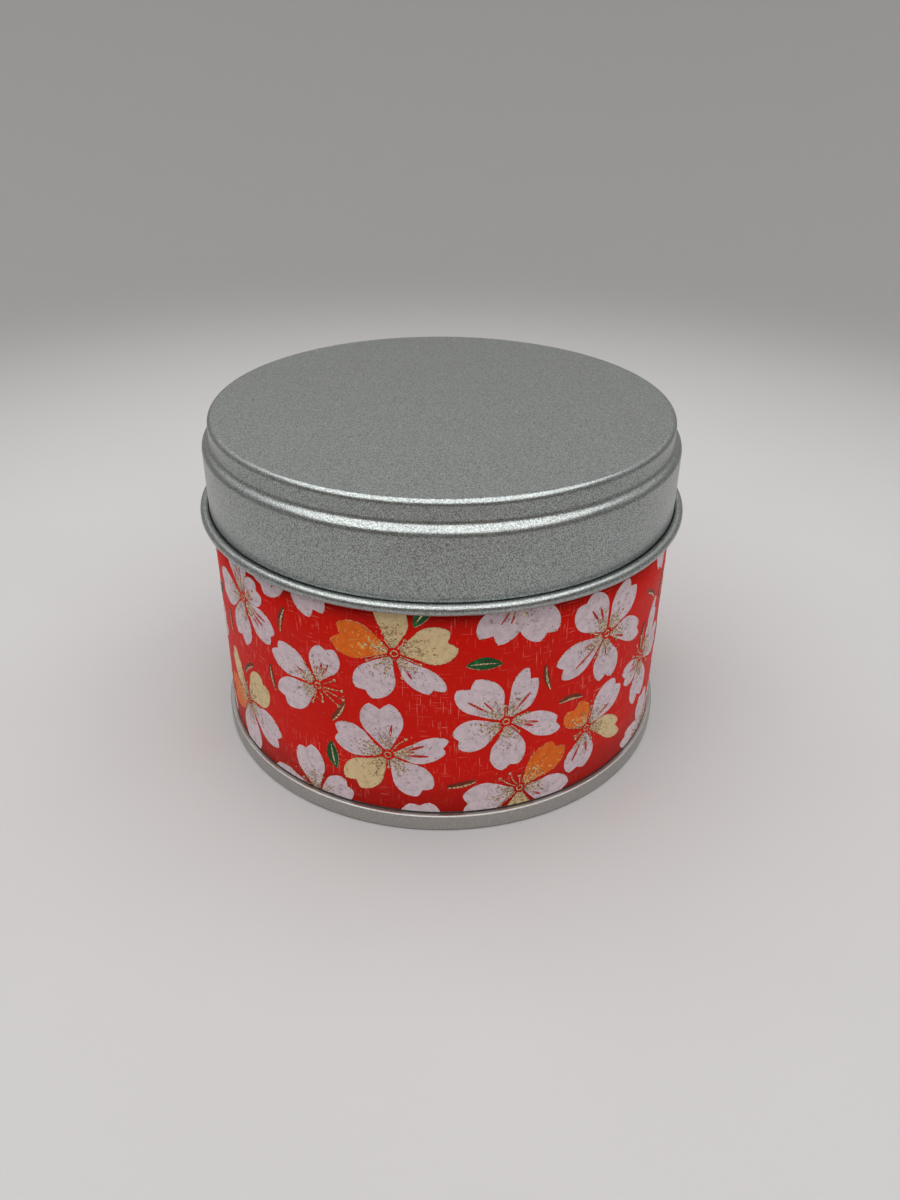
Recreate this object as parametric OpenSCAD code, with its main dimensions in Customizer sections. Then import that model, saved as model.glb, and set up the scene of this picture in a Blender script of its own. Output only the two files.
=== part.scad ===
// Round slip-lid candle tin with a patterned paper band, empty.
// Every tinplate piece is one sheet of constant thickness, so its cross-section
// is given as the path that the middle of the sheet follows, and is then
// thickened and revolved about the Z axis. The tin stands on Z = 0, and -Y is
// the front. The side seam and the lap of the paper are at the back.

/* [Tin] */
// Diameter over the curled edge of the lid, the widest part
tin_d = 80; // [60:1:120]
// Overall height with the lid on
tin_h = 56; // [45:1:100]
// Thickness of the tinplate sheet
sheet = 0.23; // [0.2:0.01:0.25]

/* [Lid] */
// Height of the lid from the bottom of its curl to its top
lid_h = 16.2; // [12:0.1:20]
// Height of the step below the top panel
step_h = 3.35; // [3:0.05:4]
// How far the step stands in from the skirt
step_in = 1.23; // [1.2:0.01:2]
// Outside diameter of the curled edge
curl_d = 1.7; // [1.6:0.05:2]
// Radial gap between the skirt and the body
lid_gap = 0.25; // [0.2:0.05:0.3]

/* [Body] */
// Diameter of the bead rolled inwards at the mouth
bead_d = 1.6; // [1.4:0.1:1.8]
// Gap between the mouth bead and the sloping shoulder that rests over it
bead_gap = 0.2; // [0.2:0.05:0.4]
// Width of the folded side seam
side_seam_w = 3.5; // [3:0.5:5]

/* [Base seam] */
// Height of the folded seam that joins base and body
seam_h = 2.9; // [2.8:0.1:3.2]
// How far the seam stands out from the body
seam_out = 1.15; // [1.15:0.01:1.3]
// Height of the base panel's middle above the ground
panel_z = 3.6; // [3.4:0.1:4.2]

/* [Paper band] */
// Thickness of the paper
paper = 0.14; // [0.1:0.01:0.16]
// Thickness of the glue under the paper
glue = 0.08; // [0.06:0.01:0.1]
// Clear height between the seam and the paper, and between the paper and the lid
paper_gap = 0.25; // [0.2:0.05:0.6]
// Length of the lap where the paper covers its own start
lap_w = 8; // [5:1:12]

/* [Hidden] */
$fn = 180;

half = sheet / 2;
curl_r = curl_d / 2;
bead_r = bead_d / 2;
lid_z = tin_h - lid_h;              // bottom of the lid's curl
skirt_ri = tin_d / 2 - curl_d;      // inside of the skirt
skirt_ro = skirt_ri + sheet;
neck_ro = skirt_ro - step_in;       // outside of the step
shoulder_z = tin_h - step_h;        // where the step meets the sloping shoulder
body_ro = skirt_ri - lid_gap;
seam_ro = body_ro + seam_out;
glue_ro = body_ro + glue;
paper_ro = glue_ro + paper;
lap_glue_ro = paper_ro + glue;
lap_ro = lap_glue_ro + paper;
paper_z0 = seam_h + paper_gap;
paper_z1 = lid_z - paper_gap;

top_bend = 0.9;       // outside radius of the top panel's edge
step_bend = 1;        // radius in the corner between the step and the shoulder
shoulder_bend = 1.25; // outside radius where the sloping shoulder turns into the skirt
shoulder_turn = 55;   // how far each of those two bends turns the sheet
crease_z = shoulder_z + step_bend * tan(shoulder_turn / 2);
bend_z = shoulder_z - step_in * tan(90 - shoulder_turn) - shoulder_bend * tan(shoulder_turn / 2);

// Centre of the mouth bead, which stays clear of the slope above it.
bead_x = body_ro - bead_r;
bead_z = shoulder_z - (bead_r + bead_gap + sheet - cos(shoulder_turn) * (neck_ro - bead_x))
    / sin(shoulder_turn);
mouth_z = bead_z + bead_r;                   // top of the mouth bead
curl_turn = 305;      // how far round the lid's curl and the mouth bead are rolled

hook_play = 0.04;     // gap between layers pressed together in the seam
hook_tip_z = 2.2;     // upper edge of the body's hook
cover_tip_z = 1.1;    // lower edge of the end's hook
chuck_x = body_ro - sheet - hook_play - half;  // base wall inside the body
wall_x = body_ro - half;                       // body wall
cover_x = body_ro + hook_play + half;          // end's hook, outside the body
rim_x = seam_ro - half;                        // outermost layer of the seam
hook_x = (cover_x + rim_x) / 2;                // body's hook, between those two
fold_r = (hook_x - wall_x) / 2;                // radius of the body's hook fold
fold_z = sheet + hook_play + fold_r + half;    // centre of that fold
foot_bend = 0.45;     // outside radius at the foot of the seam
crown_bend = 0.4;     // outside radius at the top of the seam
panel_bend = 1.2;     // radius where the base panel turns down
middle_r = tin_d / 2 - 7;  // radius of the raised middle of the base panel
middle_bend = 0.6;    // radius of the two bends at its edge
middle_turn = 45;     // how far each of them turns the sheet

back = 90;            // direction of the tin's side seam, from +X
lap_back = 104;       // direction in which the paper's lap starts
lap_turn = lap_w / paper_ro * 180 / PI;

// One side of a sheet's path. A path entry is [x, z, heading] for an end, or
// [x, z, radius, from, to] for a bend about the centre x, z. side is 1 for the
// left of the path and -1 for the right.
function edge_points(path, side) = [
    for (p = path)
        if (len(p) == 3)
            [p[0], p[1]] + side * half * [-sin(p[2]), cos(p[2])]
        else
            let (
                steps = max(2, ceil(abs(p[4] - p[3]) / 9)),
                r = p[2] - sign(p[4] - p[3]) * side * half
            )
            for (i = [0:steps])
                let (a = p[3] + (p[4] - p[3]) * i / steps)
                [p[0], p[1]] + r * [cos(a), sin(a)]
];

function reversed(list) = [for (i = [len(list) - 1:-1:0]) list[i]];

// A sheet of constant thickness that follows a path and turns about Z.
module turned_sheet(path) {
    rotate_extrude()
        polygon(concat(edge_points(path, 1), reversed(edge_points(path, -1))));
}

// Flat ring between two radii.
module ring(r0, r1) {
    difference() {
        circle(r1);
        circle(r0);
    }
}

// Flat sector from one direction to another, well past the tin's outside.
module sector(from, to) {
    polygon([[0, 0], tin_d * [cos(from), sin(from)], tin_d * [cos(to), sin(to)]]);
}

// Stretch of a flat ring from one direction to another.
module ring_stretch(r0, r1, from, to) {
    intersection() {
        ring(r0, r1);
        sector(from, to);
    }
}

// Flat section, raised from one height to another.
module raised(z0, z1) {
    translate([0, 0, z0])
        linear_extrude(z1 - z0)
            children();
}

// Stepped cap. Its edge is rolled outwards into a hollow curl.
module lid_shell() {
    color("#9b9e9b")
        turned_sheet([
            [0, tin_h - half, 0],
            [neck_ro - top_bend, tin_h - top_bend, top_bend - half, 90, 0],
            [neck_ro + step_bend, crease_z, step_bend + half, 180, 180 + shoulder_turn],
            [skirt_ro - shoulder_bend, bend_z, shoulder_bend - half, shoulder_turn, 0],
            [skirt_ri + curl_r, lid_z + curl_r, curl_r - half, 180, 180 + curl_turn],
        ]);
}

// Wall of the tin, with the hook at its foot, the bead at its mouth and the
// ridge of its folded side seam on the inside.
module body_shell() {
    color("#a3a6a4") {
        turned_sheet([
            [hook_x, hook_tip_z, -90],
            [wall_x + fold_r, fold_z, fold_r, 0, -180],
            [bead_x, bead_z, bead_r - half, 0, curl_turn],
        ]);
        side_seam();
    }
}

module side_seam() {
    turn = side_seam_w / body_ro * 180 / PI;
    ridge = 2.1 * sheet;  // thickness of the flattened fold
    end_gap = 0.4;        // from its ends to the base panel and the mouth bead
    raised(panel_z + end_gap, mouth_z - bead_d - end_gap)
        ring_stretch(body_ro - ridge, body_ro - half, back - turn / 2, back + turn / 2);
}

// Base panel, the wall inside the body, and the outer folds of the seam.
module base_end() {
    low_r = middle_r + 2 * middle_bend * sin(middle_turn);
    low_z = panel_z - 2 * middle_bend * (1 - cos(middle_turn));
    color("#a3a6a4")
        turned_sheet([
            [0, panel_z, 0],
            [middle_r, panel_z - middle_bend, middle_bend, 90, 90 - middle_turn],
            [low_r, low_z + middle_bend, middle_bend, 270 - middle_turn, 270],
            [chuck_x - panel_bend, low_z - panel_bend, panel_bend, 90, 0],
            [chuck_x + foot_bend - half, foot_bend, foot_bend - half, 180, 270],
            [rim_x - foot_bend + half, foot_bend, foot_bend - half, 270, 360],
            [rim_x - crown_bend + half, seam_h - crown_bend, crown_bend - half, 0, 90],
            [cover_x + crown_bend - half, seam_h - crown_bend, crown_bend - half, 90, 180],
            [cover_x, cover_tip_z, -90],
        ]);
}

// Rubber sealing compound, a thin ring shut in above the body's hook.
module seam_compound() {
    inset = 0.08;
    color("#3c3f3d")
        raised(hook_tip_z + inset, seam_h - sheet - inset)
            ring(cover_x + half + inset, rim_x - half - inset);
}

// Paper wrapped once round the body. At the back it climbs over its own start
// and ends in a lap.
module paper_band() {
    slit = 0.6;   // opening at the paper's start, in degrees
    climb = 0.9;  // stretch in which the paper climbs, in degrees
    color("#b8201a")
        raised(paper_z0, paper_z1)
            difference() {
                union() {
                    ring(glue_ro, paper_ro);
                    ring_stretch(glue_ro, lap_ro, lap_back - climb, lap_back + lap_turn);
                }
                ring_stretch(paper_ro, lap_glue_ro, lap_back, lap_back + lap_turn + slit);
                ring_stretch(body_ro, lap_glue_ro, lap_back, lap_back + slit);
            }
}

// Paste under the band, and a strip of it under the lap.
module band_glue() {
    inset = 0.3;        // how far the paste stops short of the paper's edges
    turn_inset = 1.2;   // the same, in degrees round the tin
    color("#e6e0cf")
        raised(paper_z0 + inset, paper_z1 - inset) {
            difference() {
                ring(body_ro, glue_ro);
                sector(lap_back - turn_inset, lap_back + turn_inset);
            }
            ring_stretch(paper_ro, lap_glue_ro,
                lap_back + turn_inset, lap_back + lap_turn - turn_inset / 2);
        }
}

lid_shell();
body_shell();
base_end();
seam_compound();
paper_band();
band_glue();
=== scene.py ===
# %% [markdown]
# # A slip-lid candle tin in printed paper
# A candle tin is three pressed sheets of tinplate: a lid, a body and a base. This one also wears a
# band of red paper printed with cherry blossom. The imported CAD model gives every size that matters,
# and this lesson builds the surfaces that the eye meets: thin rolled metal, paper and ink.
# All shapes are worked out in millimetres and turned into Blender's metres at the very end.

import bmesh
import bpy
import numpy as np
from mathutils import Matrix, Vector


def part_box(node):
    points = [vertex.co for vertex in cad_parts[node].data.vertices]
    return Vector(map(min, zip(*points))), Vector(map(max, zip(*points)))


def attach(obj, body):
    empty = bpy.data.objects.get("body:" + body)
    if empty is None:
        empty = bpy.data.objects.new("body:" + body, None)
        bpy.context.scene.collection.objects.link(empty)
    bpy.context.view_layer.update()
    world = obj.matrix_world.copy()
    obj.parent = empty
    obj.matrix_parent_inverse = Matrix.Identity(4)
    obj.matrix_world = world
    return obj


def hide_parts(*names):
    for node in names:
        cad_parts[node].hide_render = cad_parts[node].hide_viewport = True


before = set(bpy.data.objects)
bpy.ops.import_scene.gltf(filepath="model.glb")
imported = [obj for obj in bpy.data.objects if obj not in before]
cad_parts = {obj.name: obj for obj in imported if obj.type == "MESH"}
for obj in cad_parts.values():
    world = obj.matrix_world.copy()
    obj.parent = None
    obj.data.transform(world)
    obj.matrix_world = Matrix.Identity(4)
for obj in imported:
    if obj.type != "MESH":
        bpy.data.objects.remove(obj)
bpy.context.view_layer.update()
MM = 0.001


def node_box(name):
    """Lowest and highest corner of a CAD node, in mm."""
    low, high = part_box(name)
    return np.array(low) / MM, np.array(high) / MM


print("nodes:", sorted(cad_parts))

# %% [markdown]
# ## Sizes
# Outside sizes are read from the CAD model, so the looks can't drift away from the design. What
# the boxes can't tell, such as the radius of a bend, is named here once.

# %% Sizes from the frame
lid_low, lid_high = node_box("lid_shell")
_, body_high = node_box("body_shell")
_, base_high = node_box("base_end")
paper_low, paper_high = node_box("paper_band")

tin_radius = round(lid_high[0], 2)      # over the lid's curl
tin_top = round(lid_high[2], 2)
lid_bottom = round(lid_low[2], 2)
mouth_top = round(body_high[2], 2)
seam_radius = round(base_high[0], 2)
paper_bottom, paper_top = round(paper_low[2], 2), round(paper_high[2], 2)

SHEET = 0.23       # thickness of the tinplate
HALF = SHEET / 2
CURL = 0.85        # outside radius of the lid's curl
BEAD = 0.8         # outside radius of the bead at the mouth
LID_GAP = 0.25     # between the skirt and the body
PAPER_GAP = 0.25   # between the paper and the base seam below it

skirt_inside = tin_radius - 2 * CURL
skirt_radius = skirt_inside + SHEET
body_radius = skirt_inside - LID_GAP
print(f"tin {2 * tin_radius} x {tin_top} mm, body radius {body_radius:.2f} mm")

# %% [markdown]
# ## Drawing a bent sheet
# Sheet metal keeps one thickness wherever it is bent, so a section through it needs only the line
# that the middle of the sheet follows. The line is a chain of circular bends with straight runs
# between them. The two faces lie half a thickness to either side. Close to each bend an extra
# point is put on the straight run: smooth shading blends normals from point to point, and the
# extra point keeps the blend off the flat metal. Long runs get a few more, so that the panels
# aren't made of needle-thin triangles, which shade in streaks.

# %% Section of a bent sheet
BEND_STEP = 6      # degrees between points on a bend
SUPPORT = 0.06     # mm from a bend to the extra point beside it
LONG_RUN = 6.0     # mm between the extra points on a long run


def bent_sheet(path, half=HALF):
    """Closed outline of a sheet. An end of the path is (x, z, heading) and a bend is
    (x, z, radius, from, to). Along a bend the middle is centre + radius * (cos a, sin a), and each
    face is the middle moved by half a thickness along the normal."""
    middle, normal = [], []
    for stretch in path:
        centre = np.array(stretch[:2])
        if len(stretch) == 3:
            heading = np.radians(stretch[2])
            middle.append(centre[None])
            normal.append(np.array([[-np.sin(heading), np.cos(heading)]]))
        else:
            radius, start, stop = stretch[2:]
            count = max(3, int(abs(stop - start) / BEND_STEP) + 1)
            a = np.radians(np.linspace(start, stop, count))
            out = np.stack([np.cos(a), np.sin(a)], axis=1)
            middle.append(centre + radius * out)
            normal.append(-np.sign(stop - start) * out)
    points, normals = [middle[0]], [normal[0]]
    for before, after, turned in zip(middle, middle[1:], normal[1:]):
        run = after[0] - before[-1]
        length = np.linalg.norm(run)
        if length > 4 * SUPPORT:
            share = np.linspace(SUPPORT / length, 1 - SUPPORT / length, 2 + int(length / LONG_RUN))
            points.append(before[-1] + share[:, None] * run)
            normals.append(np.repeat(turned[:1], len(share), axis=0))
        fresh = int(length < 1e-6)     # two bends that meet share a point
        points.append(after[fresh:])
        normals.append(turned[fresh:])
    middle, normal = np.concatenate(points), np.concatenate(normals)
    return np.concatenate([middle + half * normal, (middle - half * normal)[::-1]])


strip_outline = bent_sheet([(0, 0, 0), (10, 0, 0)])
print("a flat strip 10 mm long has", len(strip_outline), "points round its section")

# %% [markdown]
# ## From section to solid
# A pressed tin is round, so its section is carried round the Z axis as a potter's profile is. One
# grid of points does it: one parameter runs along the section and the other round the tin. Where
# the section starts on the axis, a single point closes the middle of the panel.

# %% Grids, meshes and turning
def grid_faces(rows, columns, wrap_rows=False, wrap_columns=False):
    """Corner numbers of the quads of a grid whose points are numbered row by row."""
    i = np.arange(rows if wrap_rows else rows - 1)[:, None]
    j = np.arange(columns if wrap_columns else columns - 1)[None, :]
    i2, j2 = (i + 1) % rows, (j + 1) % columns
    corners = [i * columns + j, i2 * columns + j, i2 * columns + j2, i * columns + j2]
    return np.stack(np.broadcast_arrays(*corners), axis=-1).reshape(-1, 4)


def joined(solids):
    """Several (points, face groups) as one, with the corner numbers shifted along."""
    starts = np.cumsum([0] + [len(points) for points, _ in solids])
    groups = [group + start for (_, faces), start in zip(solids, starts) for group in faces]
    return np.concatenate([points for points, _ in solids]), groups


def new_mesh(name, points, groups):
    """Mesh from points and groups of faces, each an array with one face a row."""
    mesh = bpy.data.meshes.new(name)
    mesh.from_pydata(points.tolist(), [], [f for group in groups for f in group.tolist()])
    return mesh


def new_object(mesh, material):
    """Object of the mesh's name, in the scene and in its material."""
    mesh.materials.append(material)
    made = bpy.data.objects.new(mesh.name, mesh)
    bpy.context.scene.collection.objects.link(made)
    print(f"{made.name}: {len(mesh.vertices)} points, {len(mesh.polygons)} faces")
    return made


def smooth_object(name, points, groups, material):
    """Smoothly shaded object from points in mm."""
    mesh = new_mesh(name, points * MM, groups)
    mesh.polygons.foreach_set("use_smooth", np.ones(len(mesh.polygons), bool))
    return new_object(mesh, material)


def put_mesh(name, points, groups, body, material):
    """Smooth piece that rides on a CAD body."""
    piece = smooth_object(name, points, groups, material)
    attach(piece, body)
    return piece


TURNS = 288
angles_round = np.radians(np.arange(TURNS) * 360 / TURNS)


def turned(outline):
    """Points and face groups of a closed outline (x, z) carried round Z: point (i, j) is
    (x_j cos a_i, x_j sin a_i, z_j)."""
    on_axis = outline[0, 0] < 1e-6
    ring = outline[1:-1] if on_axis else outline
    x, z = ring.T
    grid = np.stack([
        np.cos(angles_round)[:, None] * x,
        np.sin(angles_round)[:, None] * x,
        np.broadcast_to(z, (TURNS, len(z))),
    ], axis=-1)
    points = grid.reshape(-1, 3)
    quads = grid_faces(TURNS, len(ring), wrap_rows=True, wrap_columns=not on_axis)
    groups = [quads[:, ::-1]]
    if on_axis:
        poles = [[0, 0, outline[0, 1]], [0, 0, outline[-1, 1]]]
        first = np.arange(TURNS) * len(ring)
        after = np.roll(first, -1)
        last, after_last = first + len(ring) - 1, after + len(ring) - 1
        top, under = len(points), len(points) + 1
        groups.append(np.stack([first, after, np.full(TURNS, top)], axis=1))
        groups.append(np.stack([after_last, last, np.full(TURNS, under)], axis=1))
        points = np.concatenate([points, poles])
    return points, groups


print(TURNS, "places round the tin, one every", 360 / TURNS, "degrees")

# %% [markdown]
# ## Colour and nodes
# Colours are written as the hex values that a screen shows. Blender's shaders want linear light,
# so one function takes out the sRGB curve. A second small function adds a node to a material and
# wires it: everything that is given as another node's output becomes a link, and the rest is set.

# %% Helpers for materials
def linear(hex_colour):
    """sRGB hex to linear RGBA: c / 12.92 in the deep shades, ((c + 0.055) / 1.055)^2.4 above."""
    c = np.array([int(hex_colour[k:k + 2], 16) for k in (1, 3, 5)]) / 255
    c = np.where(c <= 0.04045, c / 12.92, ((c + 0.055) / 1.055) ** 2.4)
    return (*c.tolist(), 1.0)


def add_node(tree, kind, inputs=None, **settings):
    """Adds a node, sets its own settings, and links or sets its inputs."""
    made = tree.nodes.new("ShaderNode" + kind)
    for name, value in settings.items():
        setattr(made, name, value)
    for name, value in (inputs or {}).items():
        if isinstance(value, bpy.types.NodeSocket):
            tree.links.new(value, made.inputs[name])
        else:
            made.inputs[name].default_value = value
    return made


def new_material(name):
    """Material with an empty node tree, its Principled shader and that tree."""
    material = bpy.data.materials.new(name)
    material.use_nodes = True
    tree = material.node_tree
    tree.nodes.clear()
    shader = add_node(tree, "BsdfPrincipled")
    add_node(tree, "OutputMaterial", {"Surface": shader.outputs["BSDF"]})
    return material, tree, shader


def per_mm(size):
    """Noise scale, in cells per metre, for grains of this size in mm."""
    return 1 / (size * MM)


print("the hex grey #808080 is", round(linear("#808080")[0], 3), "in linear light")

# %% [markdown]
# ## Satin tinplate
# The lid is steel plated with tin, rolled between sand-blasted rollers and lacquered. The rollers
# leave a fine pebble grain, so highlights spread wide and break into sparkle. The real grain is too
# fine to show from here, and is drawn as coarse as it needs to show. The metal itself is grey with
# a trace of green. The grain is bump and tone, and a second, far larger noise varies the roughness,
# as handling does. The body's lacquer is on the outside only, so inside its wall it is paler.

# %% Tinplate material
GRAIN = 0.19             # mm across a pebble of the grain
PATCH = 7                # mm across a patch of wear


def satin_tinplate(name, colour, inner_colour, roughness, grain_depth, contrast):
    """Metallic shader with a pebble grain in bump and tone, and patches of wear in roughness. The
    grain lightens and darkens the metal by the share contrast, and its colour goes from
    inner_colour to colour across the thickness of the body's wall."""
    material, tree, shader = new_material(name)
    place = add_node(tree, "TexCoord").outputs["Object"]
    grain = add_node(tree, "TexNoise", {"Vector": place, "Scale": per_mm(GRAIN), "Detail": 1.5,
                                        "Roughness": 0.6})
    bump = add_node(tree, "Bump", {"Height": grain.outputs["Fac"], "Strength": 1.0,
                                   "Distance": grain_depth * MM})
    patches = add_node(tree, "TexNoise", {"Vector": place, "Scale": per_mm(PATCH), "Detail": 3.0})
    worn = add_node(tree, "MapRange", {"Value": patches.outputs["Fac"], "From Min": 0.3,
                                       "From Max": 0.7, "To Min": roughness - 0.02,
                                       "To Max": roughness + 0.03})
    tone = add_node(tree, "MapRange", {"Value": grain.outputs["Fac"], "From Min": 0.36,
                                       "From Max": 0.64, "To Min": 1 - contrast,
                                       "To Max": 1 + contrast})
    flat = add_node(tree, "VectorMath", {0: place, 1: (1, 1, 0)}, operation="MULTIPLY")
    radius = add_node(tree, "VectorMath", {0: flat.outputs["Vector"]}, operation="LENGTH")
    outside = add_node(tree, "MapRange", {"Value": radius.outputs["Value"],
                                          "From Min": (body_radius - SHEET) * MM,
                                          "From Max": body_radius * MM})
    metal = add_node(tree, "MixRGB", {"Fac": outside.outputs["Result"],
                                      "Color1": linear(inner_colour), "Color2": linear(colour)})
    shade = add_node(tree, "VectorMath", {0: metal.outputs["Color"], 1: tone.outputs["Result"]},
                     operation="MULTIPLY")
    tree.links.new(shade.outputs["Vector"], shader.inputs["Base Color"])
    tree.links.new(worn.outputs["Result"], shader.inputs["Roughness"])
    tree.links.new(bump.outputs["Normal"], shader.inputs["Normal"])
    shader.inputs["Metallic"].default_value = 1.0
    return material


lid_metal = satin_tinplate("satin_lacquered_tinplate", "#A0A5A3", "#A0A5A3", 0.32, 0.012, 0.44)
body_metal = satin_tinplate("plain_satin_tinplate", "#B4B2AE", "#C9CAC6", 0.46, 0.006, 0.15)
print("metals:", lid_metal.name, body_metal.name)

# %% [markdown]
# ## The lid
# The lid is pressed in one stroke: a flat panel, a small step, a sloping shoulder that rests over
# the mouth, and a skirt. Its raw edge would cut fingers, so it is rolled outwards into a hollow
# curl. The bright lines that ring a tin are the places where the sheet faces upwards and outwards:
# the panel's edge and the slope of the shoulder. The dark line on either side of the slope is the
# sheet turning through level, where it faces the near side of the room, which is dim with painted
# shade in the card.

# %% Lid
STEP_IN = 1.23           # step's wall to the skirt
STEP_HEIGHT = 3.35       # panel to the crease where the shoulder starts
PANEL_BEND = 0.9
CREASE = 1.0             # radius of the face in that crease
SHOULDER_BEND = 1.25     # outside radius where the shoulder turns into the skirt
SHOULDER_TURN = 55       # degrees that each of those two turns the sheet
CURL_TURN = 305          # degrees that an edge is rolled
neck_radius = skirt_radius - STEP_IN
shoulder_z = tin_top - STEP_HEIGHT
half_turn = np.tan(np.radians(SHOULDER_TURN / 2))
crease_z = shoulder_z + CREASE * half_turn
bend_z = (shoulder_z - STEP_IN * np.tan(np.radians(90 - SHOULDER_TURN))
          - SHOULDER_BEND * half_turn)

lid_path = [
    (0, tin_top - HALF, 0),
    (neck_radius - PANEL_BEND, tin_top - PANEL_BEND, PANEL_BEND - HALF, 90, 0),
    (neck_radius + CREASE, crease_z, CREASE + HALF, 180, 180 + SHOULDER_TURN),
    (skirt_radius - SHOULDER_BEND, bend_z, SHOULDER_BEND - HALF, SHOULDER_TURN, 0),
    (skirt_inside + CURL, lid_bottom + CURL, CURL - HALF, 180, 180 + CURL_TURN),
]
lid = put_mesh("lid_tinplate", *turned(bent_sheet(lid_path)), "lid", lid_metal)
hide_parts("lid_shell")

# %% [markdown]
# ## The base
# The base panel is sunk inside the body. Its wall comes down, turns outwards under the body and is
# rolled up and over the body's own hook: a double seam, as on a food can. From outside it is
# the plain rim that the tin stands on.

# %% Base
PLAY = 0.04              # between layers pressed together in the seam
FOOT_BEND = 0.45
CROWN_BEND = 0.4
PANEL_TURN = 1.2         # bend where the base panel turns down
MIDDLE_BEND = 0.6        # bends round the raised middle of the panel
MIDDLE_TURN = 45
COVER_TIP = 1.1          # lower edge of the base's hook
middle_radius = tin_radius - 7
panel_z = round(base_high[2], 2) - HALF
chuck_x = body_radius - SHEET - PLAY - HALF
cover_x = body_radius + PLAY + HALF
rim_x = seam_radius - HALF
seam_top = paper_bottom - PAPER_GAP
low_x = middle_radius + 2 * MIDDLE_BEND * np.sin(np.radians(MIDDLE_TURN))
low_z = panel_z - 2 * MIDDLE_BEND * (1 - np.cos(np.radians(MIDDLE_TURN)))

base_path = [
    (0, panel_z, 0),
    (middle_radius, panel_z - MIDDLE_BEND, MIDDLE_BEND, 90, 90 - MIDDLE_TURN),
    (low_x, low_z + MIDDLE_BEND, MIDDLE_BEND, 270 - MIDDLE_TURN, 270),
    (chuck_x - PANEL_TURN, low_z - PANEL_TURN, PANEL_TURN, 90, 0),
    (chuck_x + FOOT_BEND - HALF, FOOT_BEND, FOOT_BEND - HALF, 180, 270),
    (rim_x - FOOT_BEND + HALF, FOOT_BEND, FOOT_BEND - HALF, 270, 360),
    (rim_x - CROWN_BEND + HALF, seam_top - CROWN_BEND, CROWN_BEND - HALF, 0, 90),
    (cover_x + CROWN_BEND - HALF, seam_top - CROWN_BEND, CROWN_BEND - HALF, 90, 180),
    (cover_x, COVER_TIP, -90),
]
base = put_mesh("base_tinplate", *turned(bent_sheet(base_path)), "tin", body_metal)
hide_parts("base_end")

# %% [markdown]
# ## The body
# The body is a strip rolled into a tube. Its mouth is rolled inwards into a bead, and its foot is
# the hook inside the double seam. The tube closes in a folded side seam, which shows inside the
# tin as a flat ridge. The ridge is a slab: a front grid and a back grid, joined round their rims.

# %% Body and its side seam
HOOK_TIP = 2.2           # upper edge of the body's hook
wall_x = body_radius - HALF
hook_x = (cover_x + rim_x) / 2
fold = (hook_x - wall_x) / 2
fold_z = SHEET + PLAY + fold + HALF

body_path = [
    (hook_x, HOOK_TIP, -90),
    (wall_x + fold, fold_z, fold, 0, -180),
    (body_radius - BEAD, mouth_top - BEAD, BEAD - HALF, 0, CURL_TURN),
]


def slab(front, back):
    """Closed solid between two grids of the same shape (rows, columns, 3). Its faces are the front
    grid, the back grid turned over, and a strip from rim to rim."""
    rows, columns = front.shape[:2]
    quads = grid_faces(rows, columns)
    count = rows * columns
    number = np.arange(count).reshape(rows, columns)
    rim = np.concatenate([number[0], number[1:, -1], number[-1, -2::-1], number[-2:0:-1, 0]])
    after = np.roll(rim, -1)
    sides = np.stack([rim, after, after + count, rim + count], axis=1)
    points = np.concatenate([front.reshape(-1, 3), back.reshape(-1, 3)])
    return points, [quads, quads[:, ::-1] + count, sides]


def seam_ridge():
    """Ridge inside the wall at the back: its face stands 0.25 mm in from the wall, and falls to
    the wall along its long edges as a raised cosine."""
    width, height, edge, end_gap, overlap = 3.5, 0.25, 0.35, 0.4, 0.01
    across = np.array([0, 0.15, 0.35, 0.6, 1, 3, 5, 6.4, 6.65, 6.85, 7]) / 7 * width
    rise = np.clip(np.minimum(across, width - across) / edge, 0, 1)
    rise = 0.5 - 0.5 * np.cos(np.pi * rise)
    up = np.linspace(panel_z + end_gap, mouth_top - 2 * BEAD - end_gap, 12)
    angle = np.pi / 2 + (across - width / 2) / body_radius
    inner = body_radius - SHEET - height * rise

    def grid(radius):
        radius = np.broadcast_to(radius, angle.shape)
        x, y = radius * np.cos(angle), radius * np.sin(angle)
        return np.stack(np.broadcast_arrays(x[:, None], y[:, None], up[None, :]), axis=-1)

    return slab(grid(wall_x), grid(inner - overlap))


body = put_mesh("body_tinplate", *joined([turned(bent_sheet(body_path)), seam_ridge()]),
                "tin", body_metal)
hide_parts("body_shell")

# %% [markdown]
# ## Unrolled paper
# The band is printed flat and then wrapped, so that is how it is built. A place on the paper is
# (s, h): s runs along the strip, with 0 at the front of the tin, and h is the height. One function
# wraps a flat place on the tin. At the back the paper climbs over its own start and laps.

# %% Wrapping
PAPER = 0.14
GLUE = 0.08
LAP = 8                  # mm of paper that cover its own start
SLIT = 0.6               # degrees between the paper's start and the lap's foot
CLIMB = 1.8              # degrees in which the paper climbs
LANDING = 0.2            # degrees from the end of the climb to the paper's start
paper_radius = body_radius + GLUE + PAPER
LAP_TURN = 194.0         # degrees from the front to the paper's start, seen from above
lap_degrees = np.degrees(LAP / paper_radius)
strip_start = np.radians(LAP_TURN + SLIT - 360) * paper_radius
strip_end = np.radians(LAP_TURN + lap_degrees) * paper_radius


def wrapped(s, h, lift):
    """Place on the tin of a flat place (s, h), lifted off the paper's face. The angle is s over
    the radius. Over the lap the radius grows by one paper and one glue, along a smooth step."""
    turn = np.degrees(s / paper_radius)
    t = np.clip((turn - (LAP_TURN - LANDING - CLIMB)) / CLIMB, 0, 1)
    radius = paper_radius + (PAPER + GLUE) * t * t * (3 - 2 * t) + lift
    a = np.radians(turn - 90)
    return np.stack(np.broadcast_arrays(radius * np.cos(a), radius * np.sin(a), h), axis=-1)


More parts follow.
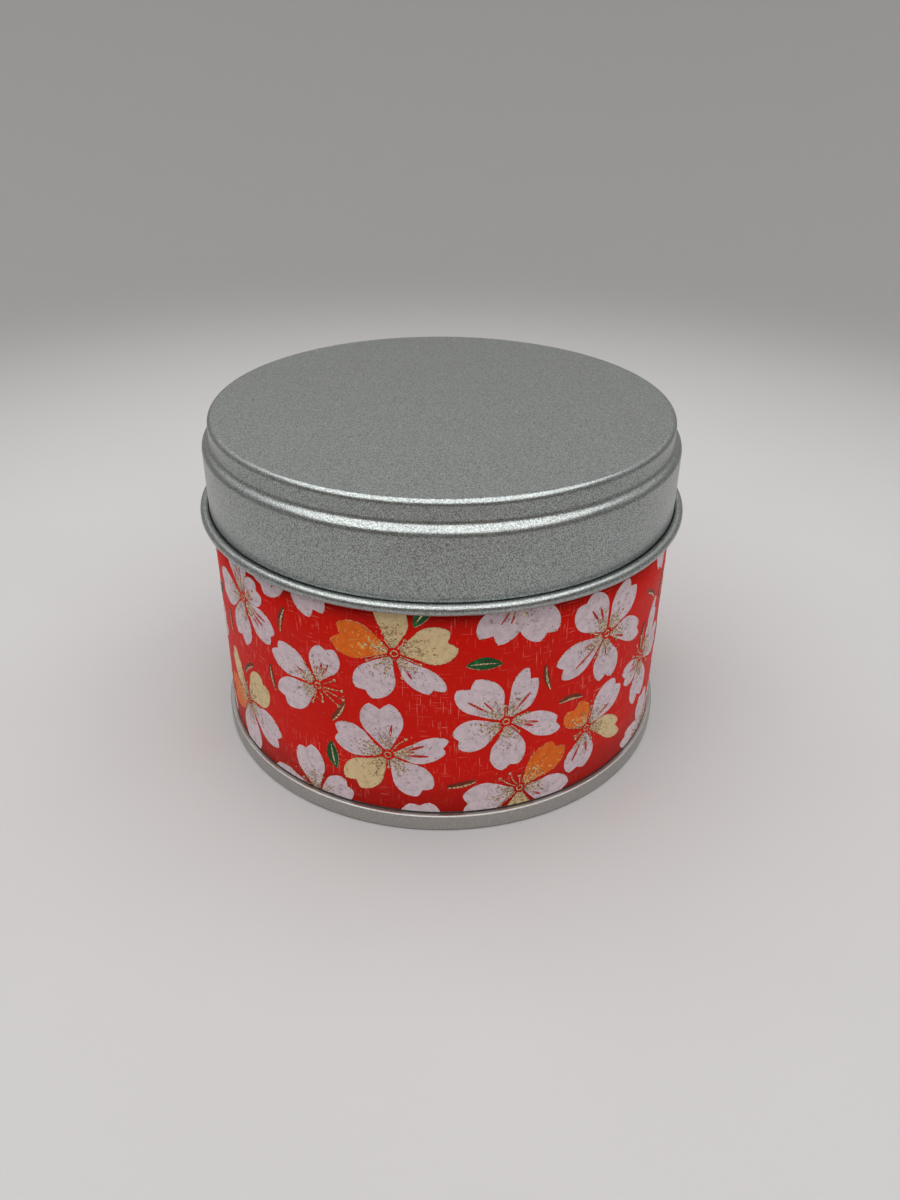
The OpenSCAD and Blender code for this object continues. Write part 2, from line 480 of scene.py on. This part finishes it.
print(f"strip {strip_end - strip_start:.1f} mm long, {paper_top - paper_bottom:.1f} mm wide")

# %% [markdown]
# ## Red washi
# The paper is long-fibred washi, dyed vermilion. It was brushed through a coarse weave, so short
# pale streaks run up and along it like threads. The streaks are noise stretched about fourteen to
# one, once each way, and cut off high so that only the strongest show. They follow the paper, not
# the room, so they read a UV map laid out in the flat strip: one unit of it is 100 mm of paper.

# %% Washi material
PRINT_MAP = "print"
UNIT = 100               # mm of paper in one unit of the print's UV map


def red_washi():
    """Dyed paper: red with cloudy patches, threads up and along, and fibres in its bump."""
    material, tree, shader = new_material("dyed_washi_paper")
    flat = add_node(tree, "UVMap", uv_map=PRINT_MAP).outputs["UV"]
    cloud = add_node(tree, "TexNoise", {"Vector": flat, "Scale": UNIT / 9, "Detail": 3.0})
    patch = add_node(tree, "TexNoise", {"Vector": flat, "Scale": UNIT / 14, "Detail": 2.0})
    red = add_node(tree, "MixRGB", {"Fac": cloud.outputs["Fac"], "Color1": linear("#D00F04"),
                                    "Color2": linear("#D81908")})
    colour = red.outputs["Color"]
    for width, length, high in ((0.24, 3.6, 0.62), (3.2, 0.24, 0.635)):
        cell = add_node(tree, "Mapping", {"Vector": flat,
                                          "Scale": (UNIT / width, UNIT / length, 1)})
        thread = add_node(tree, "TexNoise", {"Vector": cell.outputs["Vector"], "Scale": 1.0,
                                             "Detail": 2.0, "Roughness": 0.55})
        shown = add_node(tree, "MapRange", {"Value": thread.outputs["Fac"], "From Min": high,
                                            "From Max": high + 0.06})
        faded = add_node(tree, "MapRange", {"Value": patch.outputs["Fac"], "From Min": 0.4,
                                            "From Max": 0.64, "To Min": 0.08, "To Max": 0.85})
        amount = add_node(tree, "Math", {0: shown.outputs["Result"], 1: faded.outputs["Result"]},
                          operation="MULTIPLY")
        mixed = add_node(tree, "MixRGB", {"Fac": amount.outputs["Value"], "Color1": colour,
                                          "Color2": linear("#EE8074")})
        colour = mixed.outputs["Color"]
    fibre = add_node(tree, "TexNoise", {"Vector": flat, "Scale": UNIT / 0.5, "Detail": 4.0})
    bump = add_node(tree, "Bump", {"Height": fibre.outputs["Fac"], "Strength": 0.6,
                                   "Distance": 0.02 * MM})
    rough = add_node(tree, "MapRange", {"Value": fibre.outputs["Fac"], "To Min": 0.45,
                                        "To Max": 0.6})
    shader.inputs["Specular IOR Level"].default_value = 0.1
    tree.links.new(colour, shader.inputs["Base Color"])
    tree.links.new(bump.outputs["Normal"], shader.inputs["Normal"])
    tree.links.new(rough.outputs["Result"], shader.inputs["Roughness"])
    return material


washi = red_washi()
print("paper:", washi.name)

# %% [markdown]
# ## The paper band
# The band is one slab: an outer grid and an inner grid, a paper's thickness apart, over the whole
# strip. Its UV map is simply the flat place that each corner came from.

# %% Paper band
def lay_map(piece, flat_places):
    """Writes a flat (s, h) for every point into the print's UV map, in units of the map."""
    mesh = piece.data
    corner_point = np.zeros(len(mesh.loops), int)
    mesh.loops.foreach_get("vertex_index", corner_point)
    layer = mesh.uv_layers.new(name=PRINT_MAP)
    layer.data.foreach_set("uv", (flat_places[corner_point] / UNIT).ravel())


strip_s = np.linspace(strip_start, strip_end, 440)[:, None]
strip_h = np.linspace(paper_bottom, paper_top, 6)[None, :]
outer, inner = wrapped(strip_s, strip_h, 0), wrapped(strip_s, strip_h, -PAPER)
band = put_mesh("washi_band", *slab(outer, inner), "tin", washi)
flat_grid = np.stack(np.broadcast_arrays(strip_s, strip_h), axis=-1).reshape(-1, 2)
lay_map(band, np.concatenate([flat_grid, flat_grid]))
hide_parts("paper_band")

# %% [markdown]
# ## Ink on paper
# The blossom is screen-printed in thick pigment, one colour after another, so each colour is a thin
# layer that stands a few hundredths of a millimetre off the paper. A shape is a small grid of flat
# places. It gets a front and a back, is trimmed where the paper was cut, and only then wrapped, so
# a petal that runs off the edge is cut as cleanly as on the real band.

# %% Printing a layer
PETAL_MAP = "petal"
SUNK = 0.02              # how deep a layer's back lies in the paper, mm
SHORTEST_EDGE = 0.001    # mm; trimming leaves slivers, and shorter edges are dissolved


def trimmed(mesh):
    """Cuts the flat layer along the paper's four edges and closes each cut."""
    work = bmesh.new()
    work.from_mesh(mesh)
    edges = [((0, paper_bottom), (0, -1)), ((0, paper_top), (0, 1)),
             ((strip_start, 0), (-1, 0)), ((strip_end, 0), (1, 0))]
    for place, outward in edges:
        bmesh.ops.bisect_plane(work, geom=work.verts[:] + work.edges[:] + work.faces[:],
                               plane_co=(*place, 0), plane_no=(*outward, 0), clear_outer=True)
    open_edges = [e for e in work.edges if e.is_boundary]
    bmesh.ops.holes_fill(work, edges=open_edges)
    bmesh.ops.dissolve_degenerate(work, dist=SHORTEST_EDGE, edges=work.edges[:])
    work.to_mesh(mesh)
    work.free()


def print_layer(name, shapes, lift, material):
    """Prints flat grids as one layer of ink. Each shape is a grid (rows, columns, 2) of places;
    its UV map holds how far along and across the shape a point is, and tone is one random shade
    for each shape."""
    solids, along_across, tones = [], [], []
    for flat in shapes:
        rows, columns = flat.shape[:2]
        height = np.full((rows, columns, 1), lift)
        solids.append(slab(np.concatenate([flat, height], axis=-1),
                           np.concatenate([flat, 0 * height - SUNK], axis=-1)))
        u, v = np.meshgrid(np.linspace(0, 1, rows), np.linspace(0, 1, columns), indexing="ij")
        one_side = np.stack([u, v], axis=-1).reshape(-1, 2)
        along_across += [one_side, one_side]
        tones.append(np.full(2 * rows * columns, chance.random()))
    points, groups = joined(solids)
    mesh = new_mesh(name, points, groups)
    corner_point = np.zeros(len(mesh.loops), int)
    mesh.loops.foreach_get("vertex_index", corner_point)
    for map_name, places in ((PRINT_MAP, points[:, :2] / UNIT),
                             (PETAL_MAP, np.concatenate(along_across))):
        layer = mesh.uv_layers.new(name=map_name)
        layer.data.foreach_set("uv", places[corner_point].ravel())
    tone = mesh.attributes.new("tone", "FLOAT", "POINT")
    tone.data.foreach_set("value", np.concatenate(tones))
    trimmed(mesh)
    places = np.zeros(3 * len(mesh.vertices))
    mesh.vertices.foreach_get("co", places)
    s, h, z = places.reshape(-1, 3).T
    mesh.vertices.foreach_set("co", (wrapped(s, h, z) * MM).ravel())
    piece = new_object(mesh, material)
    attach(piece, "tin")


print("ink is sunk", SUNK, "mm into the paper")

# %% [markdown]
# ## One petal
# A cherry petal is narrow at the heart of the flower, broad near its end and notched at the tip.
# Its rim is most of an ellipse, and its edges run straight from there to the heart, which makes a
# teardrop. Two parameters give it: v runs round the rim from edge to edge, and u runs straight
# from the petal's foot to the rim. Small random changes keep the print from looking stamped.

# %% Petals and strokes
chance = np.random.default_rng(11)
HEART = 1.0              # mm from the middle of a blossom to the foot of its petals


def petal(place, turn, length, width, notch, slant, lean):
    """Grid of flat places. With q = 128 v degrees, the rim is length * (0.64 + 0.36 cos q -
    notch exp(-(q / 0.3)^2) + slant sin q) along and width / 2 * sin q across, and the foot is
    HEART along and 0.06 width * v across. Rows go from foot to rim as u, and bend as u^2."""
    u = np.linspace(0, 1, 8)[:, None]
    v = np.linspace(-1, 1, 19)[None, :]
    q = np.radians(128) * v
    rim = length * (0.64 + 0.36 * np.cos(q) - notch * np.exp(-(q / 0.3) ** 2) + slant * np.sin(q))
    along = HEART + (rim - HEART) * u
    foot = 0.06 * width * v
    across = foot + (width / 2 * np.sin(q) - foot) * u + lean * length * u ** 2
    a = np.radians(turn)
    return np.stack([place[0] + along * np.cos(a) - across * np.sin(a),
                     place[1] + along * np.sin(a) + across * np.cos(a)], axis=-1)


def stroke(start, end, width, bend=0.0, pieces=4, grow=0.0):
    """Brush stroke: a line from start to end, pushed sideways by bend * sin(pi t), whose half
    width is width / 2 * (0.4 + 0.6 sin(pi t)), and wider towards the end by the share grow."""
    start, end = np.array(start), np.array(end)
    t = np.linspace(0, 1, pieces + 1)[:, None, None]
    side = np.array([-(end - start)[1], (end - start)[0]]) / np.linalg.norm(end - start)
    swell = width / 2 * (0.4 + 0.6 * np.sin(np.pi * t)) * (1 + grow * (t - 0.5))
    across = np.array([-1, 1])[None, :, None]
    return start + (end - start) * t + side * (bend * np.sin(np.pi * t) + swell * across)


def ringlet(place, radius, width):
    """Small ring, drawn as a brush does: round the place from 10 to 350 degrees."""
    a = np.radians(np.linspace(10, 350, 9))[:, None]
    r = radius + np.array([0.5, -0.5])[None, :] * width
    return np.stack([place[0] + r * np.cos(a), place[1] + r * np.sin(a)], axis=-1)


def leaf(start, end, width):
    """Grid of a lens-shaped leaf: half width = width / 2 * sin(pi u)^0.8, with its ends a
    hair's breadth wide so that no face has an edge of no length."""
    start, end = np.array(start), np.array(end)
    u = np.linspace(0, 1, 9)[:, None, None]
    v = np.linspace(-1, 1, 5)[None, :, None]
    side = np.array([-(end - start)[1], (end - start)[0]]) / np.linalg.norm(end - start)
    half_width = width / 2 * np.sin(np.pi * (0.02 + 0.96 * u)) ** 0.8
    curve = 0.12 * width * np.sin(np.pi * u)
    return start + (end - start) * u + side * (half_width * v + curve)


sample = petal((0, 0), 0, 10, 6, 0.15, 0, 0)
print("a petal is a grid of", sample.shape[0], "rows and", sample.shape[1], "columns")

# %% [markdown]
# ## Laying out the blossom
# A spray of blossom looks scattered, but a pure scatter leaves clumps and holes. So the flowers
# start on a staggered grid, like bricks in a wall, and chance pushes each one off its place and
# turns it. Most petals are white. Some flowers get cream petals, and some of those an orange one.
# The whole arrangement comes from these few numbers, so it repeats no printed paper.

# %% Layout of the print
COLUMN = 15.6            # mm between columns of flowers
ROW = 18.4               # mm between the flowers of a column
STRAY = 2.8              # mm that a flower may be pushed off its place, each way
BEYOND = 7               # mm off the paper's edges, past which a flower wouldn't show
LEAVES, TWIGS = 8, 20    # how many are tried in the gaps


def flower_inks():
    """Inks of five petals: three flowers in ten have a cream petal. Half of those have a second
    one beside it, and half have an orange one next but one to the first."""
    inks = ["white"] * 5
    if chance.random() < 0.3:
        first = int(chance.integers(5))
        inks[first] = "cream"
        if chance.random() < 0.5:
            inks[(first + 1) % 5] = "cream"
        if chance.random() < 0.5:
            inks[(first + 2) % 5] = "orange"
    return inks


blossoms = []
for column, s in enumerate(np.arange(strip_start - 3, strip_end + 9, COLUMN)):
    for row in np.arange(-1, 3) + 0.5 * (column % 2):
        h = paper_bottom + 1 + row * ROW
        stray = chance.uniform(-STRAY, STRAY, 2)
        if -BEYOND < h < paper_top + BEYOND:
            blossoms.append((s + stray[0], h + stray[1], chance.uniform(0, 72), flower_inks()))
print(len(blossoms), "blossoms")

# %% [markdown]
# ## Growing the flowers
# The front flowers are drawn first. A petal that would touch a flower already there is drawn
# shorter, and is left out if it still touches, as a painter fills a spray from its best blooms.
# Some white petals have slits, printed in red over the white. Each flower then gets its gold: a
# ringlet at its heart, stamens with a grain at the end of each, veins at the foot of the petals,
# and a broken outline, which is heavier on the cream and orange ones. Leaves and twigs come last,
# in the gaps that the flowers leave.

# %% Shapes of every ink
ROOM = 0.6               # mm between the points of two flowers' grids
VEINS = (6, 9, 12)       # columns of a petal that slits and veins follow
shapes = {ink: [] for ink in ("white", "cream", "orange", "slit", "gold", "green", "brown")}
drawn = np.array([[1000.0, 1000.0]])


def room_for(grid):
    """True if no point of the grid is closer than ROOM to a flower that is drawn already."""
    near = drawn[np.abs(drawn - grid.mean(axis=(0, 1))).max(axis=1) < 9]
    gaps = np.linalg.norm(grid.reshape(-1, 1, 2) - near, axis=-1)
    return gaps.min(initial=np.inf) > ROOM


def add_gold(start, end, width, bend=0.0, pieces=3):
    shapes["gold"].append(stroke(start, end, width, bend, pieces))


def draw_petal(place, turn, ink):
    """One petal with its slits, veins and outline. Returns its grid, or None without room."""
    turned_away = chance.random() < 0.2
    width = chance.uniform(5.8, 6.9) * (0.75 if turned_away else 1)
    slant = chance.uniform(-0.05, 0.05) + (0.14 * chance.choice([-1, 1]) if turned_away else 0)
    notch, lean = chance.uniform(0.1, 0.19), chance.uniform(-0.07, 0.07)
    for length in chance.uniform(9.0, 10.3) * np.array([1, 0.93, 0.86, 0.79, 0.72, 0.65]):
        grid = petal(place, turn, length, width * (length / 10) ** 0.6, notch, slant, lean)
        if room_for(grid):
            break
    else:
        return None
    shapes[ink].append(grid)
    if ink == "white" and chance.random() < 0.55:
        for column in chance.choice(VEINS, int(chance.integers(1, 4)), replace=False):
            shapes["slit"].append(stroke(grid[1, column], grid[int(chance.integers(3, 6)), column],
                                         chance.uniform(0.28, 0.46), 0.0, 3, grow=1.0))
    for column in VEINS:
        if chance.random() < 0.75:
            add_gold(grid[0, column], grid[int(chance.integers(2, 4)), column],
                     chance.uniform(0.16, 0.26), chance.uniform(-0.15, 0.15))
    rim = np.concatenate([grid[:, 0], grid[-1, 1:], grid[-2::-1, -1]])
    often = 0.3 if ink == "white" else 0.85
    for k, (start, end) in enumerate(zip(rim[:-1], rim[1:])):
        near_heart = min(k, len(rim) - 2 - k) < 4
        if chance.random() < often * (1.6 if near_heart else 0.8):
            add_gold(start, end, chance.uniform(0.1, 0.2), pieces=1)
    return grid


def draw_heart(place, turn):
    """Ringlet and stamens: thirteen lines from the middle, with a grain at the end of each."""
    shapes["gold"].append(ringlet(place, 0.5, 0.2))
    for a in np.radians(turn + 36 + np.arange(13) * 360 / 13):
        a += chance.uniform(-0.16, 0.16)
        way = np.array([np.cos(a), np.sin(a)])
        near, far = chance.uniform(0.8, 1.2), chance.uniform(2.0, 4.2)
        add_gold(place + near * way, place + far * way, chance.uniform(0.14, 0.26),
                 chance.uniform(-0.25, 0.25))
        shapes["gold"].append(ringlet(place + (far + 0.3) * way, 0.16, 0.22))


def in_the_gaps(count, length, draw):
    """Up to count shapes of this length, each at the first of 80 chance places and directions
    where it has room. Gives their two ends and their grids."""
    global drawn
    found = []
    for _ in range(count):
        for _ in range(80):
            start = np.array([chance.uniform(strip_start, strip_end),
                              chance.uniform(paper_bottom + 2, paper_top - 2)])
            a = chance.uniform(0, 2 * np.pi)
            end = start + length * np.array([np.cos(a), np.sin(a)])
            grid = draw(start, end)
            if room_for(grid):
                drawn = np.concatenate([drawn, grid.reshape(-1, 2)])
                found.append((start, end, grid))
                break
    return found


for s, h, turn, inks in sorted(blossoms, key=lambda flower: abs(flower[0])):
    heart = np.array([s, h])
    petals = [draw_petal(heart, turn + 72 * k + chance.uniform(-8, 8), ink)
              for k, ink in enumerate(inks)]
    draw_heart(heart, turn)
    for reach in chance.uniform(1, 6, 22):
        a = chance.uniform(0, 2 * np.pi)
        speck = heart + reach * np.array([np.cos(a), np.sin(a)])
        add_gold(speck, speck + chance.uniform(0.1, 0.3, 2), chance.uniform(0.1, 0.22), pieces=1)
    drawn = np.concatenate([drawn] + [grid.reshape(-1, 2) for grid in petals if grid is not None])

for start, end, grid in in_the_gaps(LEAVES, 5.2, lambda start, end: leaf(start, end, 2.1)):
    shapes["green"].append(grid)
    add_gold(grid[1, 2], grid[-2, 2], 0.25, 0.1, pieces=5)
    for rim_start, rim_end in zip(grid[:-1, 0], grid[1:, 0]):
        add_gold(rim_start, rim_end, 0.17, pieces=1)
TWIG_BEND = 0.25
for start, end, grid in in_the_gaps(
        TWIGS, 4.4, lambda start, end: stroke(start, end, 1.0, TWIG_BEND, pieces=6)):
    shapes["brown"].append(grid)
    below = np.array([0.1, -0.35])
    add_gold(start + below, end + below, 0.34, TWIG_BEND, pieces=6)
print({ink: len(grids) for ink, grids in shapes.items()})

# %% [markdown]
# ## Inks
# Screen ink is opaque pigment in a binder. It dries satin, a little rougher than the paper, with a
# fine unevenness where the mesh of the screen left it. The white is cooled by lavender, and grey
# and gold dust has settled in it near the heart of each flower.

# %% Ink materials
def pigment_ink(name, colour, shade, dust):
    """Opaque ink: colour mottled towards shade in patches of 1.2 mm and shifted a little from
    shape to shape, with specks of dust that thin out from the heart to the tip."""
    material, tree, shader = new_material(name)
    flat = add_node(tree, "UVMap", uv_map=PRINT_MAP).outputs["UV"]
    own = add_node(tree, "UVMap", uv_map=PETAL_MAP).outputs["UV"]
    tone = add_node(tree, "Attribute", attribute_name="tone").outputs["Fac"]
    mottle = add_node(tree, "TexNoise", {"Vector": flat, "Scale": UNIT / 1.2, "Detail": 4.0})
    patchy = add_node(tree, "MapRange", {"Value": mottle.outputs["Fac"], "From Min": 0.42,
                                         "From Max": 0.72, "To Min": 0.0, "To Max": 0.75})
    lean = add_node(tree, "Math", {0: tone, 1: 0.3}, operation="MULTIPLY")
    both = add_node(tree, "Math", {0: patchy.outputs["Result"], 1: lean.outputs["Value"]},
                    operation="ADD", use_clamp=True)
    base_colour = add_node(tree, "MixRGB", {"Fac": both.outputs["Value"],
                                            "Color1": linear(colour), "Color2": linear(shade)})
    along = add_node(tree, "SeparateXYZ", {"Vector": own}).outputs["X"]
    near_heart = add_node(tree, "MapRange", {"Value": along, "From Min": 0.1, "From Max": 0.75,
                                             "To Min": 0.19, "To Max": 0.03})
    speck = add_node(tree, "TexNoise", {"Vector": flat, "Scale": UNIT / 0.5, "Detail": 2.0,
                                        "Distortion": 1.2})
    raised = add_node(tree, "Math", {0: speck.outputs["Fac"], 1: near_heart.outputs["Result"]},
                      operation="ADD")
    shown = add_node(tree, "MapRange", {"Value": raised.outputs["Value"], "From Min": 0.66,
                                        "From Max": 0.72, "To Min": 0.0, "To Max": 0.8})
    mixed = add_node(tree, "MixRGB", {"Fac": shown.outputs["Result"],
                                      "Color1": base_colour.outputs["Color"],
                                      "Color2": linear(dust)})
    bump = add_node(tree, "Bump", {"Height": speck.outputs["Fac"], "Strength": 0.5,
                                   "Distance": 0.02 * MM})
    rough = add_node(tree, "MapRange", {"Value": mottle.outputs["Fac"], "To Min": 0.42,
                                        "To Max": 0.6})
    shader.inputs["Specular IOR Level"].default_value = 0.25
    tree.links.new(mixed.outputs["Color"], shader.inputs["Base Color"])
    tree.links.new(bump.outputs["Normal"], shader.inputs["Normal"])
    tree.links.new(rough.outputs["Result"], shader.inputs["Roughness"])
    return material


def bronze_gold_ink():
    """Gold ink is flakes of bronze in varnish: every flake leans its own way, so the line breaks
    into bright and dark grains of about 0.2 mm. The bump tilts the grains, and the base colour also
    holds them as painted glints, from dark bronze to pale gold."""
    material, tree, shader = new_material("bronze_flake_gold_ink")
    flat = add_node(tree, "UVMap", uv_map=PRINT_MAP).outputs["UV"]
    flake = add_node(tree, "TexNoise", {"Vector": flat, "Scale": UNIT / 0.3, "Detail": 2.0})
    grain = add_node(tree, "MapRange", {"Value": flake.outputs["Fac"], "From Min": 0.4,
                                        "From Max": 0.6})
    # painted glints: the flakes' bright and dark grains, put into the base colour
    shade = add_node(tree, "MixRGB", {"Fac": grain.outputs["Result"],
                                      "Color1": linear("#8C6844"), "Color2": linear("#F4E2BC")})
    bump = add_node(tree, "Bump", {"Height": flake.outputs["Fac"], "Strength": 1.0,
                                   "Distance": 0.05 * MM})
    tree.links.new(shade.outputs["Color"], shader.inputs["Base Color"])
    tree.links.new(bump.outputs["Normal"], shader.inputs["Normal"])
    shader.inputs["Metallic"].default_value = 1.0
    shader.inputs["Roughness"].default_value = 0.42
    return material


print_layer("white_petals", shapes["white"], 0.04,
            pigment_ink("white_screen_ink", "#E0CED4", "#C4B2BA", "#85705F"))
print_layer("cream_petals", shapes["cream"], 0.04,
            pigment_ink("cream_screen_ink", "#E2CA9C", "#CDB27E", "#8E6F3E"))
print_layer("orange_petals", shapes["orange"], 0.04,
            pigment_ink("orange_screen_ink", "#EC6E02", "#D85802", "#E6BC6A"))
print_layer("green_leaves", shapes["green"], 0.045,
            pigment_ink("green_screen_ink", "#0E5222", "#083A18", "#2A7A3C"))
print_layer("brown_twigs", shapes["brown"], 0.045,
            pigment_ink("brown_screen_ink", "#7A2C10", "#5A1C0A", "#8A4A22"))
print_layer("red_slits", shapes["slit"], 0.055,
            pigment_ink("red_key_ink", "#C41A12", "#A81510", "#B98A5A"))
print_layer("gold_lines", shapes["gold"], 0.075, bronze_gold_ink())

# %% [markdown]
# ## What stays from the CAD model
# The sealing rubber inside the seam and the paste under the paper can't be seen from outside, but
# they are real pieces, so they keep their CAD shape and get the look of rubber and dried paste.

# %% Hidden pieces
def plain_compound(name, colour, shade, grain, roughness):
    """Dull cast or dried stuff: two shades in grains of the given size, in mm, with soft bump."""
    material, tree, shader = new_material(name)
    place = add_node(tree, "TexCoord").outputs["Object"]
    noise = add_node(tree, "TexNoise", {"Vector": place, "Scale": per_mm(grain), "Detail": 3.0})
    mixed = add_node(tree, "MixRGB", {"Fac": noise.outputs["Fac"], "Color1": linear(colour),
                                      "Color2": linear(shade)})
    bump = add_node(tree, "Bump", {"Height": noise.outputs["Fac"], "Strength": 0.4,
                                   "Distance": 0.02 * MM})
    tree.links.new(mixed.outputs["Color"], shader.inputs["Base Color"])
    tree.links.new(bump.outputs["Normal"], shader.inputs["Normal"])
    shader.inputs["Roughness"].default_value = roughness
    return material


for node_name, material in (
    ("seam_compound", plain_compound("sealing_rubber", "#3C3F3D", "#2C2E2D", 0.4, 0.7)),
    ("band_glue", plain_compound("dried_starch_paste", "#E6E0CF", "#D6CDB4", 1.5, 0.5)),
):
    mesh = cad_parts[node_name].data
    mesh.materials.clear()
    mesh.materials.append(material)
    print(node_name, "keeps its CAD shape, in", material.name)

# %% [markdown]
# ## Floor and backdrop
# The tin stands on pale matt card that sweeps up into a backdrop all round, like the inside of a
# shallow bowl, so there is no horizon in any view. It is a profile turned about Z as well. The
# card's colour holds painted shade, greyer away from the tin and darker towards the viewer, and
# painted light high up behind the tin.

# %% Sweep
FLOOR_RADIUS = 280
SWEEP_RADIUS = 320       # of the curve from the floor to the wall
WALL_TOP = 480


def sweep():
    """Bowl round the tin: a flat disc, a quarter circle up and a short wall, closed at the axis
    by one point."""
    a = np.radians(np.linspace(0, 90, 31))
    x = np.concatenate([[60, 160], FLOOR_RADIUS + SWEEP_RADIUS * np.sin(a),
                        [FLOOR_RADIUS + SWEEP_RADIUS]])
    z = np.concatenate([[0, 0], SWEEP_RADIUS * (1 - np.cos(a)), [WALL_TOP]])
    count = 120
    turn = np.radians(np.arange(count) * 360 / count)[:, None]
    grid = np.stack([np.cos(turn) * x, np.sin(turn) * x, np.broadcast_to(z, (count, len(z)))], -1)
    first = np.arange(count) * len(x)
    fan = np.stack([np.roll(first, -1), first, np.full(count, count * len(x))], axis=1)[:, ::-1]
    quads = grid_faces(count, len(x), wrap_rows=True)[:, ::-1]
    return np.concatenate([grid.reshape(-1, 3), [[0, 0, 0]]]), [quads, fan]


def matt_card():
    """Pale card with clouds of 40 mm and painted shade: greyer from 110 to 340 mm out, where the
    distance from the middle is the length of the object coordinates, and darker still from 100 to
    320 mm towards the viewer. Painted light makes it pale again from 220 to 340 mm up behind the tin."""
    material, tree, shader = new_material("pale_card_painted_shade_and_light")
    place = add_node(tree, "TexCoord").outputs["Object"]
    out = add_node(tree, "VectorMath", {0: place}, operation="LENGTH").outputs["Value"]
    painted_shade_out = add_node(tree, "MapRange", {"Value": out, "From Min": 110 * MM,
                                        "From Max": 340 * MM},
                     interpolation_type="SMOOTHSTEP")
    cloud = add_node(tree, "TexNoise", {"Vector": place, "Scale": per_mm(40), "Detail": 2.0})
    pale = add_node(tree, "MixRGB", {"Fac": cloud.outputs["Fac"], "Color1": linear("#B8B6B6"),
                                     "Color2": linear("#BCBABA")})
    # painted shade: the card turns greyer out from the tin, up the walls
    painted_grey_shade = add_node(tree, "MixRGB", {"Fac": painted_shade_out.outputs["Result"],
                                      "Color1": pale.outputs["Color"],
                                      "Color2": linear("#8E8C8B")})
    split = add_node(tree, "SeparateXYZ", {"Vector": place})
    # painted shade: darker towards the viewer
    painted_shade_towards_viewer = add_node(tree, "MapRange", {"Value": split.outputs["Y"], "From Min": -0.1,
                                                 "From Max": -0.32, "To Max": 0.9},
                              interpolation_type="SMOOTHSTEP")
    darker = add_node(tree, "MixRGB", {"Fac": painted_shade_towards_viewer.outputs["Result"],
                                      "Color1": painted_grey_shade.outputs["Color"],
                                      "Color2": linear("#7A716D")})
    # painted light: pale high up on the wall behind the tin
    raised = add_node(tree, "MapRange", {"Value": split.outputs["Z"], "From Min": 0.22,
                                         "From Max": 0.34})
    behind = add_node(tree, "MapRange", {"Value": split.outputs["Y"], "From Min": -0.1,
                                         "From Max": 0.2})
    painted_light_behind = add_node(tree, "Math", {0: raised.outputs["Result"],
                                          1: behind.outputs["Result"]}, operation="MULTIPLY")
    card = add_node(tree, "MixRGB", {"Fac": painted_light_behind.outputs["Value"],
                                     "Color1": darker.outputs["Color"],
                                      "Color2": linear("#F0EEED")})
    tooth = add_node(tree, "TexNoise", {"Vector": place, "Scale": per_mm(0.8), "Detail": 2.0})
    bump = add_node(tree, "Bump", {"Height": tooth.outputs["Fac"], "Strength": 0.15,
                                   "Distance": 0.05 * MM})
    tree.links.new(card.outputs["Color"], shader.inputs["Base Color"])
    tree.links.new(bump.outputs["Normal"], shader.inputs["Normal"])
    shader.inputs["Roughness"].default_value = 0.8
    return material


smooth_object("studio_sweep", *sweep(), matt_card())

# %% [markdown]
# ## Light
# Nearly all of the light is one large softbox above the tin, wide enough to show in its bends well
# round to each side. A faint even world fills the rest, and the near wall is dim with painted shade
# in its colour. Each bend then runs from bright softbox to the dim near wall to bright floor within
# a millimetre, which draws a pale ring with a dark line beside it.

# %% Lights
def soft_light(name, place, aim, size, power):
    """Oblong area light of size (across, along) at a place in mm, facing another place."""
    data = bpy.data.lights.new(name, "AREA")
    data.shape, data.energy = "RECTANGLE", power
    data.size, data.size_y = size[0] * MM, size[1] * MM
    lamp = bpy.data.objects.new(name, data)
    bpy.context.scene.collection.objects.link(lamp)
    lamp.location = np.array(place) * MM
    way = (np.array(aim) - np.array(place)).tolist()
    lamp.rotation_euler = Vector(way).to_track_quat("-Z", "Y").to_euler()
    print(f"{name}: {size[0]} by {size[1]} mm, {power} W")
    return lamp


soft_light("overhead_softbox", (-20, -100, 640), (-15, -30, 0), (1250, 1050), 8.9)
world = bpy.data.worlds.new("studio")
world.use_nodes = True
world.node_tree.nodes["Background"].inputs["Color"].default_value = linear("#D8D8DA")
world.node_tree.nodes["Background"].inputs["Strength"].default_value = 0.15
bpy.context.scene.world = world
bpy.context.scene.view_settings.view_transform = "Standard"

# %% [markdown]
# ## Camera
# The tin is seen from close by and from above, about as a phone held over the table sees it. A
# camera looks along its own -Z, so it is turned by its pitch, its heading and a trace of roll.

# %% Camera
camera_data = bpy.data.cameras.new("camera")
camera_data.sensor_width = 36
camera_data.lens = 29.27
camera = bpy.data.objects.new("camera", camera_data)
bpy.context.scene.collection.objects.link(camera)
camera.location = (5.7 * MM, -151.2 * MM, 110.1 * MM)
PITCH, HEADING, ROLL = 31.17, 1.59, 0.51     # degrees: down, to the left, clockwise
turn_up = Matrix.Rotation(np.radians(90 - PITCH), 4, "X")
turn_left = Matrix.Rotation(np.radians(HEADING), 4, "Z")
roll_over = Matrix.Rotation(np.radians(ROLL), 4, "Z")
camera.rotation_euler = (turn_left @ turn_up @ roll_over).to_euler()
bpy.context.scene.camera = camera
print("camera", round(camera.location.length / MM), "mm from the middle of the floor")
